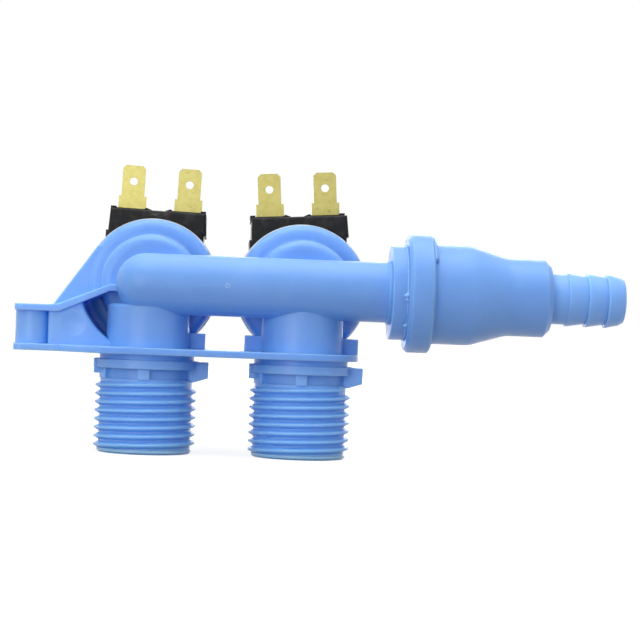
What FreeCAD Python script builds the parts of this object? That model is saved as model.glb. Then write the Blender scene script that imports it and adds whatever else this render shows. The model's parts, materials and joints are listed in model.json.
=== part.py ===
import FreeCAD, Part
import math
import os
import re
import Sketcher
from FreeCAD import Placement, Rotation, Vector

# Two-way washing machine inlet valve, in millimetres.
# The origin is the point where the left inlet's axis meets the underside of the panel plate.
# X runs along the mixing tube to the hose barb, Y runs back along the solenoids and Z is up.

# Driving sizes, each a cell of the sheet under its own name
SIZES = {
    # Panel plate and screw tab
    "chamber_gap": 5.2,
    "plate_thickness": 1.75,
    "plate_reach": 14.9,
    "plate_back": 13.2,
    "plate_corner": 4.0,
    "plate_shoulder": 12.0,
    "tab_reach": 34.5,
    "tab_half_width": 6.2,
    "tab_corner": 2.0,
    "boss_radius": 4.6,
    "boss_top": 10.3,
    "boss_overlap": 0.4,
    "screw_hole_radius": 1.6,
    "screw_hole_depth": 9.0,
    # Rib from the tab to the mixing tube, and the web behind it
    "rib_thickness": 1.7,
    "rib_setback": 2.7,
    "rib_shoulder": 0.4,
    "rib_overlap": 1.0,
    "rib_rise": 5.8,
    "rib_level": 1.5,
    "rib_front": 6.0,
    "web_front": 10.0,
    "web_thickness": 3.0,
    "gusset_front": 5.0,
    "gusset_gap": 0.35,
    "gusset_crest": 13.7,
    "gusset_wall": 1.8,
    "gusset_rounding": 0.9,
    "spot_radius": 3.2,
    "spot_depth": 0.3,
    "spot_inset": 6.6,
    "spot_height": 7.2,
    # Inlets, below the plate
    "inlet_length": 25.7,
    "neck_radius": 12.35,
    "neck_height": 1.5,
    "ring_radius": 13.4,
    "ring_height": 2.2,
    "band_height": 2.8,
    "window_radius": 11.3,
    "band_radius": 12.3,
    "core_radius": 12.0,
    "thread_radius": 13.2,
    "thread_pitch": 2.209,
    "thread_turns": 7.4,
    "thread_crest": 0.5,
    "thread_foot": 1.9,
    "thread_lead": 0.9,
    "thread_root": 0.15,
    "lead_length": 1.1,
    "lead_radius": 12.3,
    "lead_chamfer": 0.5,
    "inlet_bore": 8.6,
    "mouth_radius": 10.3,
    "mouth_depth": 2.2,
    # Bayonet lugs beside the ring
    "lug_reach": 16.1,
    "lug_top": 1.7,
    "lug_height": 4.1,
    "lug_slope": 1.2,
    "lug_width": 7.0,
    "stop_reach": 13.6,
    "stop_height": 5.3,
    # Risers and diaphragm chambers
    "axis_height": 18.4,
    "riser_radius": 10.7,
    "riser_top": 12.9,
    "riser_rounding": 0.8,
    "riser_roof": 2.3,
    "drum_wall": 1.5,
    "drum_front": 1.4,
    "drum_rounding": 2.6,
    "drum_fillet": 0.9,
    "rim_front": 9.3,
    "rim_back": 14.5,
    "rim_radius": 17.6,
    "rim_rounding": 2.9,
    "bead_ledge": 3.5,
    "chamber_front": 3.2,
    "rim_wall": 2.5,
    "bead_floor": 11.0,
    "nozzle_radius": 6.6,
    "nozzle_bore": 4.9,
    "seat_height": 9.0,
    "seat_lip": 5.7,
    "seat_bevel": 1.2,
    "pad_inner": 10.2,
    "pad_outer": 15.0,
    "pad_top": 5.8,
    "pad_front": 2.0,
    "pad_depth": 10.0,
    "pad_rounding": 0.5,
    # Mixing tube and its end flange
    "tube_radius": 7.85,
    "tube_bore": 6.0,
    "tube_dead_end": 3.0,
    "tube_forward": 5.5,
    "tube_end_offset": -0.7,
    "shoulder_radius": 8.35,
    "shoulder_length": 0.7,
    "flange_offset": 22.2,
    "flange_thickness": 4.0,
    "flange_radius": 12.2,
    "spigot_radius": 10.6,
    "spigot_length": 2.6,
    # Outlet adapter and hose barb
    "collar_radius": 15.4,
    "collar_length": 6.5,
    "collar_chamfer": 0.9,
    "collar_back_chamfer": 0.5,
    "adapter_radius": 12.95,
    "adapter_length": 9.4,
    "shoulder_run": 11.8,
    "shoulder_bend": 8.0,
    "outlet_radius": 10.1,
    "outlet_run": 8.6,
    "outlet_chamfer": 1.5,
    "barb_root": 6.55,
    "barb_crest": 7.0,
    "barb_valley": 6.2,
    "barb_neck": 5.0,
    "barb_step": 5.15,
    "barb_last_step": 3.6,
    "barb_land": 0.5,
    "barb_tip": 6.3,
    "barb_bore": 4.6,
    "barb_rounding": 0.6,
    "adapter_wall": 2.0,
    "outlet_bore": 7.6,
    "socket_gap": 0.1,
    # Flow washer and its holder
    "washer_radius": 7.4,
    "washer_hole": 2.6,
    "washer_dish": 1.1,
    "washer_face": 0.4,
    "washer_thickness": 3.4,
    "holder_wall": 1.5,
    "holder_floor": 2.0,
    "holder_lip": 0.8,
    "holder_bore": 5.2,
    # Fits
    "fit_gap": 0.05,
    "stack_gap": 0.1,
    "soft_gap": 0.3,
    "overlap": 1.0,
    # Diaphragm and its insert
    "bead_height": 1.9,
    "bead_width": 2.0,
    "bead_step": 0.3,
    "membrane": 0.9,
    "hub_radius": 7.0,
    "hub_thickness": 2.0,
    "stem_radius": 2.9,
    "stem_length": 1.1,
    "insert_radius": 6.2,
    "insert_thickness": 1.6,
    "nib_radius": 1.5,
    "nib_height": 0.8,
    "nib_flare": 0.4,
    "pilot_bore": 0.6,
    # Guide tube and plunger
    "guide_flange_lip": 0.3,
    "guide_flange_thickness": 2.1,
    "guide_roof": 1.3,
    "guide_radius": 5.6,
    "guide_bore": 4.75,
    "nose_radius": 4.0,
    "nose_length": 3.2,
    "nose_chamfer": 0.6,
    "plunger_radius": 4.5,
    "plunger_length": 24.0,
    "plunger_travel": 2.6,
    "plunger_bevel": 0.8,
    "tip_radius": 1.9,
    "tip_length": 2.6,
    "tip_proud": 0.9,
    "spring_pocket": 2.7,
    "spring_pocket_depth": 9.0,
    "spring_radius": 2.1,
    "spring_wire": 0.45,
    "spring_turns": 5.0,
    # Coil, its frame and what it holds
    "coil_length": 24.2,
    "coil_half_width": 13.3,
    "mould_shift": 0.3,
    "coil_draft": 0.3,
    "coil_shoulder": 14.3,
    "coil_top": 20.3,
    "coil_rounding": 0.8,
    "tower_inner": 1.9,
    "tower_outer": 13.1,
    "tower_height": 1.0,
    "tower_depth": 9.0,
    "tower_lip": 0.6,
    "frame_gauge": 1.45,
    "frame_half_height": 10.0,
    "frame_half_width": 15.1,
    "frame_corner": 1.4,
    "sleeve_radius": 6.85,
    "sleeve_length": 13.0,
    "bobbin_bore": 6.95,
    "bobbin_wall": 0.9,
    "bobbin_flange": 1.2,
    "bobbin_radius": 11.9,
    "winding_radius": 11.3,
    "coil_wall": 1.1,
    "clip_radius": 7.6,
    "clip_gauge": 0.5,
    "clip_dish": 0.5,
    "clip_slot": 1.2,
    "clip_rim": 1.6,
    "clip_teeth": 6,
    # Spade terminals
    "terminal_spacing": 15.5,
    "terminal_gauge": 0.8,
    "blade_width": 6.35,
    "base_width": 7.7,
    "base_height": 3.6,
    "base_bottom": 20.9,
    "blade_length": 8.5,
    "blade_chamfer": 0.9,
    "terminal_root": 4.0,
    "terminal_hole": 1.1,
    "hole_inset": 4.4,
    # Inlet screen
    "screen_rim": 1.2,
    "screen_radius": 8.3,
    "screen_wall": 0.8,
    "screen_length": 11.0,
    "screen_nose": 4.0,
    "slot_width": 1.5,
    "slot_inset": 1.0,
    "slot_count": 12,
    # Angles, in degrees: each coil's lean about its own axis, and the windows round an inlet
    "left_coil_lean": 1.6,
    "right_coil_lean": -3.9,
    "window_turn": -1.0,
    "window_rib_turn": 6.8,
    "window_right_end": 74.0,
    "window_left_end": 58.0,
}

# Places that follow from the driving sizes
PLACES = {
    "inlet_spacing": "2 * rim_radius + chamber_gap",
    "bead_radius": "rim_radius - rim_wall",
    "chamber_radius": "bead_radius - bead_ledge",
    "drum_radius": "chamber_radius + drum_wall",
    "guide_flange_radius": "rim_radius + guide_flange_lip",
    "band_top": "neck_height + ring_height",
    "band_bottom": "band_top + band_height",
    "rib_low": "boss_top",
    "rib_high": "boss_top + rib_thickness",
    "rib_end": "tube_start + rib_overlap",
    "gusset_left": "(2 * boss_radius - boss_overlap - tab_reach)",
    "rib_foot": "gusset_left + rib_setback",
    "web_back": "web_front + web_thickness",
    "web_corner": "rib_high + rib_shoulder",
    "web_reach": "sqrt(gusset_left^2 + (axis_height - web_corner)^2)",
    "web_angle": "acos(rim_radius / web_reach) - asin((axis_height - web_corner) / web_reach)",
    "tube_start": "tube_end_offset - tube_radius",
    "flange_start": "inlet_spacing + flange_offset",
    "flange_end": "flange_start + flange_thickness",
    "collar_end": "flange_end + collar_length",
    "shoulder_drop": "adapter_radius - outlet_radius",
    "bend_rise": "2 * shoulder_bend - shoulder_drop",
    "bend_span": "sqrt(shoulder_run^2 + bend_rise^2)",
    "shoulder_slope": "asin(2 * shoulder_bend / bend_span) - atan(bend_rise / shoulder_run)",
    "holder_start": "flange_end + spigot_length + socket_gap + fit_gap",
    "holder_length": "washer_thickness + holder_floor",
    "holder_radius": "washer_radius + holder_wall",
    "bead_back": "bead_floor + stack_gap + bead_height",
    "hub_front": "seat_height + soft_gap",
    "hub_back": "hub_front + hub_thickness",
    "insert_front": "hub_back + soft_gap",
    "insert_back": "insert_front + insert_thickness",
    "nib_back": "insert_back + nib_height",
    "flange_back": "rim_back + fit_gap + guide_flange_thickness",
    "tip_front": "nib_back + stack_gap",
    "plunger_front": "tip_front + tip_proud",
    "plunger_back": "plunger_front + plunger_length",
    "guide_end": "plunger_back + plunger_travel + stack_gap",
    "frame_front": "flange_back + stack_gap",
    "coil_front": "frame_front + frame_gauge + stack_gap",
    "coil_back": "coil_front + coil_length",
    "frame_inner_back": "coil_back + stack_gap",
    "frame_back": "frame_inner_back + frame_gauge",
    "bobbin_front": "coil_front + coil_wall + fit_gap",
    "bobbin_back": "coil_back - coil_wall - fit_gap",
    "terminal_depth": "(coil_front + coil_back - terminal_gauge) / 2",
    "terminal_top": "base_bottom + base_height + blade_length",
}

doc = FreeCAD.newDocument("inlet_valve")
sheet = doc.addObject("Spreadsheet::Sheet", "Sizes")
for row, (name, number) in enumerate(SIZES.items(), start=1):
    sheet.set(f"A{row}", name)
    sheet.set(f"B{row}", str(number))
    sheet.setAlias(f"B{row}", name)
doc.recompute()


def linked(formula):
    """The formula with each size name bound to its cell and each place worked out from sizes."""

    def bound(word):
        name = word.group()
        if name in PLACES:
            return "(" + linked(PLACES[name]) + ")"
        return "Sizes." + name if name in SIZES else name

    return re.sub("[a-z_]+", bound, formula)


def value(formula):
    """The present value of a formula."""
    return float(sheet.evalExpression(linked(formula)))


def new_body(label):
    body = doc.addObject("PartDesign::Body", label)
    body.Label = label
    return body


def new_sketch(body, name, plane, across="0", up="0", out="0"):
    """A sketch on one of the body's own origin planes, moved across, up and out of it."""
    sketch = body.newObject("Sketcher::SketchObject", name)
    origin_plane = next(f for f in body.Origin.OriginFeatures if f.Role == plane)
    sketch.AttachmentSupport = [(origin_plane, "")]
    sketch.MapMode = "FlatFace"
    for axis, formula in zip("xyz", (across, up, out)):
        if formula != "0":
            sketch.setExpression(f"AttachmentOffset.Base.{axis}", linked(formula))
    return sketch


def pin_point(sketch, edge, end, across, up):
    """Holds a point of the sketch at a place given by two formulas."""
    for kind, formula, axis in (("DistanceX", across, -2), ("DistanceY", up, -1)):
        if formula == "0":
            sketch.addConstraint(Sketcher.Constraint("PointOnObject", edge, end, axis))
            continue
        number = value(formula)
        at = sketch.addConstraint(Sketcher.Constraint(kind, -1, 1, edge, end, number))
        sketch.setExpression(f"Constraints[{at}]", linked(formula))


def arc_between(start, end, radius, turn):
    """The short arc from start to end that turns counter-clockwise (ccw) or clockwise (cw)."""
    if turn == "cw":
        start, end = end, start
    chord = end - start
    reach = math.sqrt(max(radius**2 - (chord.Length / 2) ** 2, 0))
    side = Vector(-chord.y, chord.x, 0) * (1 / chord.Length)
    centre = (start + end) * 0.5 + side * reach
    angles = [math.atan2(p.y - centre.y, p.x - centre.x) for p in (start, end)]
    circle = Part.Circle(centre, Vector(0, 0, 1), radius)
    return Part.ArcOfCircle(circle, angles[0], angles[1])


def draw_outline(sketch, corners):
    """A closed outline. A corner is (across, up), or (across, up, turn, radius) after an arc."""
    points = [Vector(value(corner[0]), value(corner[1]), 0) for corner in corners]
    edges = []
    for i, corner in enumerate(corners):
        if len(corner) == 2:
            edge = sketch.addGeometry(Part.LineSegment(points[i - 1], points[i]))
            edges.append((edge, 1, 2))
            continue
        turn, radius = corner[2:]
        arc = arc_between(points[i - 1], points[i], value(radius), turn)
        edge = sketch.addGeometry(arc)
        at = sketch.addConstraint(Sketcher.Constraint("Radius", edge, value(radius)))
        sketch.setExpression(f"Constraints[{at}]", linked(radius))
        edges.append((edge, 1, 2) if turn == "ccw" else (edge, 2, 1))
    for i, corner in enumerate(corners):
        edge, _, last = edges[i]
        following, first, _ = edges[(i + 1) % len(edges)]
        sketch.addConstraint(Sketcher.Constraint("Coincident", edge, last, following, first))
        pin_point(sketch, edge, last, corner[0], corner[1])


def draw_circle(sketch, across, up, radius):
    centre = Vector(value(across), value(up), 0)
    edge = sketch.addGeometry(Part.Circle(centre, Vector(0, 0, 1), value(radius)))
    at = sketch.addConstraint(Sketcher.Constraint("Radius", edge, value(radius)))
    sketch.setExpression(f"Constraints[{at}]", linked(radius))
    pin_point(sketch, edge, 3, across, up)


def turned(body, name, sketch, axis="V_Axis", cut=False, angle="360"):
    """The sketch turned about its own vertical (V_Axis) or horizontal (H_Axis) axis."""
    kind = "PartDesign::Groove" if cut else "PartDesign::Revolution"
    feature = body.newObject(kind, name)
    feature.Profile = sketch
    feature.ReferenceAxis = (sketch, [axis])
    feature.setExpression("Angle", linked(angle))
    return feature


def raised(body, name, sketch, length, back=False):
    """The sketch padded along its normal, or against it."""
    feature = body.newObject("PartDesign::Pad", name)
    feature.Profile = sketch
    feature.setExpression("Length", linked(length))
    feature.Reversed = back
    return feature


def sunk(body, name, sketch, length, back=False):
    """A pocket against the sketch's normal, or along it."""
    feature = body.newObject("PartDesign::Pocket", name)
    feature.Profile = sketch
    feature.setExpression("Length", linked(length))
    feature.Reversed = back
    return feature


def rounded(body, name, radius, wanted):
    """Fillets every edge of the body so far whose middle and length the test wants."""
    doc.recompute()
    base = body.Tip
    edges = [f"Edge{i}" for i, edge in enumerate(base.Shape.Edges, start=1) if wanted(edge)]
    feature = body.newObject("PartDesign::Fillet", name)
    feature.Base = (base, edges)
    feature.setExpression("Radius", linked(radius))
    return feature


def near(number, formula):
    """True where a coordinate lies at the place that the formula gives."""
    return abs(number - value(formula)) < 1e-4


def turned_piece(label, corners):
    """A piece turned about the solenoid axis: corners are (radius, depth) in the Y direction."""
    body = new_body(label)
    sketch = new_sketch(body, "profile", "XY_Plane")
    draw_outline(sketch, corners)
    turned(body, "turned", sketch)
    return body


def set_at_valve(piece, inlet_x, lean="0"):
    """Puts a piece on a valve's solenoid axis, turned about it by the lean."""
    piece.Placement = Placement(Vector(0, 0, 0), Rotation(Vector(0, 1, 0), 1))
    piece.setExpression("Placement.Rotation.Angle", linked(lean))
    piece.setExpression("Placement.Base.x", linked(inlet_x))
    piece.setExpression("Placement.Base.z", linked("axis_height"))
    return piece


# The two valves: name, where the inlet stands and how the coil leans
VALVES = (
    ("left", "0", "left_coil_lean"),
    ("right", "inlet_spacing", "right_coil_lean"),
)


def add_plate(body):
    """The flat panel plate: its right end follows the inlet, its left end is the screw tab."""
    sketch = new_sketch(body, "plate_outline", "XY_Plane")
    end = "inlet_spacing + plate_reach"
    draw_outline(
        sketch,
        [
            ("inlet_spacing", "-plate_reach"),
            (end, "0", "ccw", "plate_reach"),
            (end, "plate_back - plate_corner"),
            (f"{end} - plate_corner", "plate_back", "ccw", "plate_corner"),
            ("gusset_left", "plate_back"),
            ("gusset_left - plate_corner", "tab_half_width"),
            ("tab_corner - tab_reach", "tab_half_width"),
            ("-tab_reach", "tab_half_width - tab_corner", "ccw", "tab_corner"),
            ("-tab_reach", "tab_corner - tab_half_width"),
            ("tab_corner - tab_reach", "-tab_half_width", "ccw", "tab_corner"),
            ("rib_foot", "-tab_half_width"),
            ("-plate_shoulder", "-plate_reach"),
        ],
    )
    raised(body, "plate", sketch, "plate_thickness")


def add_inlet(body, side, inlet_x):
    """The neck, bayonet ring, windowed band, threaded core and plain lead-in, then the riser."""
    sketch = new_sketch(body, f"{side}_inlet_profile", "XZ_Plane", across=inlet_x)
    draw_outline(
        sketch,
        [
            ("0", "plate_thickness / 2"),
            ("neck_radius", "plate_thickness / 2"),
            ("neck_radius", "-neck_height"),
            ("ring_radius", "-neck_height"),
            ("ring_radius", "-band_top"),
            ("band_radius", "-band_top"),
            ("band_radius", "-band_bottom"),
            ("core_radius", "-band_bottom"),
            ("core_radius", "lead_length - inlet_length"),
            ("lead_radius", "lead_length - inlet_length"),
            ("lead_radius", "lead_chamfer - inlet_length"),
            ("lead_radius - lead_chamfer", "-inlet_length"),
            ("0", "-inlet_length"),
        ],
    )
    turned(body, f"{side}_inlet", sketch)
    sketch = new_sketch(body, f"{side}_riser_profile", "XZ_Plane", across=inlet_x)
    draw_outline(
        sketch,
        [
            ("0", "plate_thickness / 2"),
            ("riser_radius", "plate_thickness / 2"),
            ("riser_radius", "riser_top - riser_rounding"),
            ("riser_radius - riser_rounding", "riser_top", "ccw", "riser_rounding"),
            ("0", "riser_top"),
        ],
    )
    turned(body, f"{side}_riser", sketch)


def add_chamber(body, side, inlet_x):
    """The drum and rim of the diaphragm chamber, turned about the solenoid axis."""
    sketch = new_sketch(
        body, f"{side}_chamber_profile", "XY_Plane", across=inlet_x, out="axis_height"
    )
    draw_outline(
        sketch,
        [
            ("0", "drum_front"),
            ("drum_radius - drum_rounding", "drum_front"),
            ("drum_radius", "drum_front + drum_rounding", "ccw", "drum_rounding"),
            ("drum_radius", "rim_front - drum_fillet"),
            ("drum_radius + drum_fillet", "rim_front", "cw", "drum_fillet"),
            ("rim_radius - rim_rounding", "rim_front"),
            ("rim_radius", "rim_front + rim_rounding", "ccw", "rim_rounding"),
            ("rim_radius", "rim_back"),
            ("0", "rim_back"),
        ],
    )
    turned(body, f"{side}_chamber", sketch)


def add_mixing_tube(body):
    """The tube in front of both chambers: a round left end, and a flange at its right end."""
    sketch = new_sketch(
        body,
        "tube_profile",
        "XZ_Plane",
        across="tube_end_offset",
        up="axis_height",
        out="tube_forward",
    )
    flange = "flange_start - tube_end_offset"
    end = "flange_end - tube_end_offset"
    draw_outline(
        sketch,
        [
            ("-tube_radius", "0"),
            ("0", "tube_radius", "cw", "tube_radius"),
            (f"{flange} - shoulder_length", "tube_radius"),
            (f"{flange} - shoulder_length", "shoulder_radius"),
            (flange, "shoulder_radius"),
            (flange, "flange_radius"),
            (end, "flange_radius"),
            (end, "spigot_radius"),
            (f"{end} + spigot_length", "spigot_radius"),
            (f"{end} + spigot_length", "0"),
        ],
    )
    turned(body, "mixing_tube", sketch, axis="H_Axis")
    for side, inlet_x, _ in VALVES:
        sketch = new_sketch(
            body, f"{side}_nozzle_outline", "XZ_Plane", across=inlet_x, up="axis_height",
            out="tube_forward",
        )
        draw_circle(sketch, "0", "0", "nozzle_radius")
        raised(body, f"{side}_nozzle_neck", sketch, "tube_forward + chamber_front", back=True)


def add_tab(body):
    """The screw boss, the rib over it, the gusset block and the web up to the left rim."""
    sketch = new_sketch(body, "boss_outline", "XY_Plane")
    draw_circle(sketch, "boss_radius - tab_reach", "0", "boss_radius")
    raised(body, "screw_boss", sketch, "rib_low + rib_thickness / 2")

    # A level cap over the boss
    sketch = new_sketch(body, "cap_outline", "XY_Plane", out="rib_low")
    draw_outline(
        sketch,
        [
            ("rib_foot", "-rib_front"),
            ("rib_foot", "tab_half_width"),
            ("tab_corner - tab_reach", "tab_half_width"),
            ("-tab_reach", "tab_half_width - tab_corner", "ccw", "tab_corner"),
            ("-tab_reach", "tab_corner - rib_front"),
            ("tab_corner - tab_reach", "-rib_front", "ccw", "tab_corner"),
        ],
    )
    raised(body, "tab_cap", sketch, "rib_thickness")

    # The rib climbs from the cap to the round end of the mixing tube
    sketch = new_sketch(body, "rib_outline", "XZ_Plane", out="rib_front")
    draw_outline(
        sketch,
        [
            ("gusset_left", "rib_low"),
            ("rib_foot", "rib_low"),
            ("tube_start - rib_level", "rib_low + rib_rise"),
            ("rib_end", "rib_low + rib_rise"),
            ("rib_end", "rib_high + rib_rise"),
            ("tube_start - rib_level", "rib_high + rib_rise"),
            ("rib_foot", "web_corner"),
            ("gusset_left", "rib_high"),
        ],
    )
    raised(body, "tab_rib", sketch, "rib_front + web_back", back=True)

    # The gusset block under the rib follows the left chamber's rim
    sketch = new_sketch(body, "gusset_outline", "XZ_Plane", out="gusset_front")
    hollow = "rim_radius + gusset_gap"
    side = f"sqrt(({hollow})^2 - (axis_height - gusset_crest)^2)"
    foot = f"sqrt(max(({hollow})^2 - (axis_height - plate_thickness / 2)^2; 0))"
    draw_outline(
        sketch,
        [
            ("gusset_left", "plate_thickness / 2"),
            (f"-{foot}", "plate_thickness / 2"),
            (f"-{side}", "gusset_crest", "cw", hollow),
            ("rib_foot", "rib_low + rib_thickness / 2"),
            ("gusset_left", "rib_low + rib_thickness / 2"),
        ],
    )
    raised(body, "gusset", sketch, "gusset_front + web_front", back=True)

    def soft_edge(edge):
        ends = [corner.Point for corner in edge.Vertexes]
        axis = Vector(0, value("-gusset_front"), value("axis_height"))
        front = all(near(end.y, "-gusset_front") for end in ends)
        upright = all(near(end.x, "gusset_left") for end in ends)
        hollowed = all(near((end - axis).Length, hollow) for end in ends)
        return front and (upright or hollowed)

    rounded(body, "gusset_edges", "gusset_rounding", soft_edge)

    # The web closes the gusset's back and runs tangent into the left chamber's rim
    sketch = new_sketch(body, "web_outline", "XZ_Plane", out="-web_front")
    draw_outline(
        sketch,
        [
            ("gusset_left", "plate_thickness / 2"),
            ("0", "plate_thickness / 2"),
            ("0", "axis_height"),
            ("-rim_radius * cos(web_angle)", "axis_height + rim_radius * sin(web_angle)"),
            ("gusset_left", "web_corner"),
        ],
    )
    raised(body, "tab_web", sketch, "web_thickness", back=True)

    # The gusset is cored out from behind, with a wall left on every other side
    sketch = new_sketch(body, "core_outline", "XZ_Plane", out="gusset_front - gusset_wall")
    hollow = "rim_radius + gusset_wall"
    side = f"sqrt(({hollow})^2 - (axis_height - rib_low)^2)"
    foot = f"sqrt(max(({hollow})^2 - (axis_height - plate_thickness)^2; 0))"
    draw_outline(
        sketch,
        [
            ("gusset_left + gusset_wall", "plate_thickness"),
            (f"-{foot}", "plate_thickness"),
            (f"-{side}", "rib_low", "cw", hollow),
            ("gusset_left + gusset_wall", "rib_low"),
        ],
    )
    sunk(body, "gusset_core", sketch, "gusset_front + web_back")


def add_pads(body, side, inlet_x, ways):
    """Low blocks on the plate beside the risers."""
    for way in ways:
        label = "outer" if way == "1" else "inner"
        sketch = new_sketch(
            body, f"{side}_{label}_pad_outline", "XZ_Plane", across=inlet_x, out="-pad_front"
        )
        draw_outline(
            sketch,
            [
                (f"{way} * pad_inner", "plate_thickness / 2"),
                (f"{way} * pad_outer", "plate_thickness / 2"),
                (f"{way} * pad_outer", "pad_top"),
                (f"{way} * (pad_inner + pad_rounding)", "pad_top"),
                (
                    f"{way} * pad_inner",
                    "pad_top - pad_rounding",
                    "ccw" if way == "1" else "cw",
                    "pad_rounding",
                ),
            ],
        )
        raised(body, f"{side}_{label}_pad", sketch, "pad_depth", back=True)


def add_lugs(body, side, inlet_x):
    """The bayonet lug on the right of each inlet and the short stop on its left."""
    sketch = new_sketch(
        body, f"{side}_lug_outline", "XZ_Plane", across=inlet_x, out="lug_width / 2"
    )
    draw_outline(
        sketch,
        [
            ("core_radius - overlap", "-lug_top"),
            ("lug_reach", "-lug_top"),
            ("lug_reach", "-lug_top - lug_height"),
            ("band_radius", "-lug_top - lug_height - lug_slope"),
            ("core_radius - overlap", "-lug_top - lug_height - lug_slope"),
        ],
    )
    raised(body, f"{side}_lug", sketch, "lug_width", back=True)
    sketch = new_sketch(
        body, f"{side}_stop_outline", "XZ_Plane", across=inlet_x, out="lug_width / 2"
    )
    draw_outline(
        sketch,
        [
            ("-stop_reach", "-neck_height"),
            ("overlap - core_radius", "-neck_height"),
            ("overlap - core_radius", "-stop_height"),
            ("-stop_reach", "-stop_height"),
        ],
    )
    raised(body, f"{side}_stop", sketch, "lug_width", back=True)


def cut_windows(body, side, inlet_x):
    """Recesses in the band under the ring, between a front rib, a back rib and the lugs."""
    spans = {"right": ("window_rib_turn", "window_right_end"),
             "left": ("-window_left_end", "-window_rib_turn")}
    for half in ("front", "back"):
        for name, (low, high) in spans.items():
            label = f"{side}_{half}_{name}_window"
            sketch = new_sketch(body, f"{label}_profile", "XZ_Plane", across=inlet_x)
            draw_outline(
                sketch,
                [
                    ("window_radius", "-band_top"),
                    ("ring_radius + overlap", "-band_top"),
                    ("ring_radius + overlap", "-band_bottom"),
                    ("window_radius", "-band_bottom"),
                ],
            )
            start = f"{low} - 90" if half == "front" else f"90 - ({high})"
            offset = sketch.AttachmentOffset
            offset.Rotation = Rotation(Vector(0, 1, 0), 1)
            sketch.AttachmentOffset = offset
            sketch.setExpression("AttachmentOffset.Base.x", linked(inlet_x))
            sketch.setExpression(
                "AttachmentOffset.Rotation.Angle", linked(f"window_turn + {start}")
            )
            turned(body, label, sketch, cut=True, angle=f"{high} - ({low})")


def add_thread(body, side, inlet_x):
    """The right-hand hose thread, one helical ridge on the inlet's core."""
    sketch = new_sketch(body, f"{side}_thread_profile", "XZ_Plane", across=inlet_x)
    low = "thread_lead - inlet_length"
    draw_outline(
        sketch,
        [
            ("thread_root - core_radius", low),
            ("-thread_radius", f"{low} + (thread_foot - thread_crest) / 2"),
            ("-thread_radius", f"{low} + (thread_foot + thread_crest) / 2"),
            ("thread_root - core_radius", f"{low} + thread_foot"),
        ],
    )
    helix = body.newObject("PartDesign::AdditiveHelix", f"{side}_thread")
    helix.Profile = sketch
    helix.ReferenceAxis = (sketch, ["V_Axis"])
    helix.Mode = "pitch-turns-angle"
    helix.setExpression("Pitch", linked("thread_pitch"))
    helix.setExpression("Turns", linked("thread_turns"))
    helix.LeftHanded = False


def cut_waterways(body, side, inlet_x):
    """The inlet bore, the ring-shaped chamber round the nozzle and the nozzle's own bore."""
    sketch = new_sketch(body, f"{side}_bore_profile", "XZ_Plane", across=inlet_x)
    draw_outline(
        sketch,
        [
            ("0", "-inlet_length - overlap"),
            ("mouth_radius", "-inlet_length - overlap"),
            ("mouth_radius", "mouth_depth - inlet_length"),
            ("inlet_bore", "mouth_depth - inlet_length"),
            ("inlet_bore", "riser_top - riser_roof"),
            ("0", "riser_top - riser_roof"),
        ],
    )
    turned(body, f"{side}_inlet_bore", sketch, cut=True)
    sketch = new_sketch(
        body, f"{side}_cavity_profile", "XY_Plane", across=inlet_x, out="axis_height"
    )
    draw_outline(
        sketch,
        [
            ("nozzle_radius", "chamber_front"),
            ("chamber_radius", "chamber_front"),
            ("chamber_radius", "bead_floor"),
            ("bead_radius", "bead_floor"),
            ("bead_radius", "rim_back + overlap"),
            ("0", "rim_back + overlap"),
            ("0", "seat_height"),
            ("seat_lip", "seat_height"),
            ("nozzle_radius", "seat_height - seat_bevel"),
        ],
    )
    turned(body, f"{side}_cavity", sketch, cut=True)
    sketch = new_sketch(
        body, f"{side}_nozzle_hole", "XZ_Plane", across=inlet_x, up="axis_height",
        out="tube_forward",
    )
    draw_circle(sketch, "0", "0", "nozzle_bore")
    sunk(body, f"{side}_nozzle_bore", sketch, "tube_forward + seat_height + overlap")


def make_valve_body():
    body = new_body("valve_body")
    add_plate(body)
    for side, inlet_x, _ in VALVES:
        add_inlet(body, side, inlet_x)
        add_chamber(body, side, inlet_x)
        add_lugs(body, side, inlet_x)
    add_mixing_tube(body)
    add_tab(body)
    add_pads(body, "left", "0", ["1"])
    add_pads(body, "right", "inlet_spacing", ["-1", "1"])
    for side, inlet_x, _ in VALVES:
        cut_windows(body, side, inlet_x)
        cut_waterways(body, side, inlet_x)

    sketch = new_sketch(
        body, "tube_hole", "YZ_Plane", across="-tube_forward", up="axis_height",
        out="tube_end_offset - tube_dead_end",
    )
    draw_circle(sketch, "0", "0", "tube_bore")
    length = "flange_end + spigot_length - tube_end_offset + tube_dead_end + overlap"
    sunk(body, "tube_bore_cut", sketch, length, back=True)

    sketch = new_sketch(body, "screw_hole_outline", "XY_Plane")
    draw_circle(sketch, "boss_radius - tab_reach", "0", "screw_hole_radius")
    sunk(body, "screw_hole", sketch, "screw_hole_depth", back=True)

    # A shallow dish in the gusset's face
    sketch = new_sketch(
        body, "spot_profile", "XY_Plane", across="spot_inset + gusset_left", out="spot_height"
    )
    bend = "(spot_radius^2 + spot_depth^2) / (2 * spot_depth)"
    draw_outline(
        sketch,
        [
            ("0", "-gusset_front - overlap"),
            ("spot_radius", "-gusset_front - overlap"),
            ("spot_radius", "-gusset_front"),
            ("0", "spot_depth - gusset_front", "ccw", bend),
        ],
    )
    turned(body, "gusset_spot", sketch, cut=True)
    for side, inlet_x, _ in VALVES:
        add_thread(body, side, inlet_x)


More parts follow.
